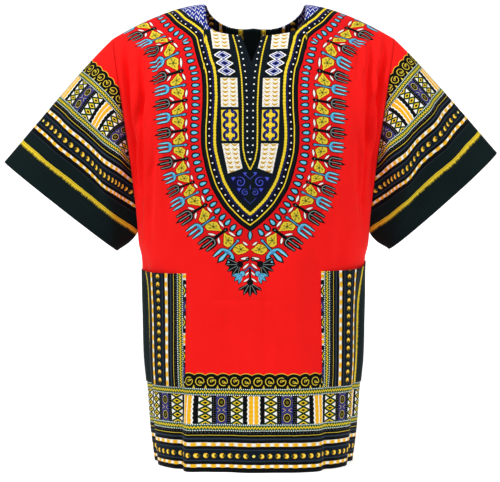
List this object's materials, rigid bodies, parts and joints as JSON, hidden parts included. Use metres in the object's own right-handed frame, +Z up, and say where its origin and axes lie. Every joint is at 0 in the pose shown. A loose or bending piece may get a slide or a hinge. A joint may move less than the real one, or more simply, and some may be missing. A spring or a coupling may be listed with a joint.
{
  "type": "dashiki shirt",
  "caption": "Loose pullover dashiki shirt in printed cotton with short wide sleeves, a slit neck and patch pockets, hollow and filled out as on a wearer.",
  "frame": {"origin": "midway between the two shoulder seams, at the middle of their height, where the wearer's shoulders carry the shirt", "axes": "+Z up, the front faces -Y, +X towards the viewer's right as seen from the front"},
  "size_m": [0.834, 0.2963, 0.7708],
  "materials": {
    "red_print": "matt printed cotton",
    "border_print": "matt printed cotton, dark border stripes"
  },
  "bodies": {
    "root": {"front": "red_print", "back": "red_print", "sleeve_left": "border_print", "sleeve_right": "border_print", "pocket_left": "border_print", "pocket_right": "border_print", "neck_facing": "border_print"}
  },
  "joints": []
}
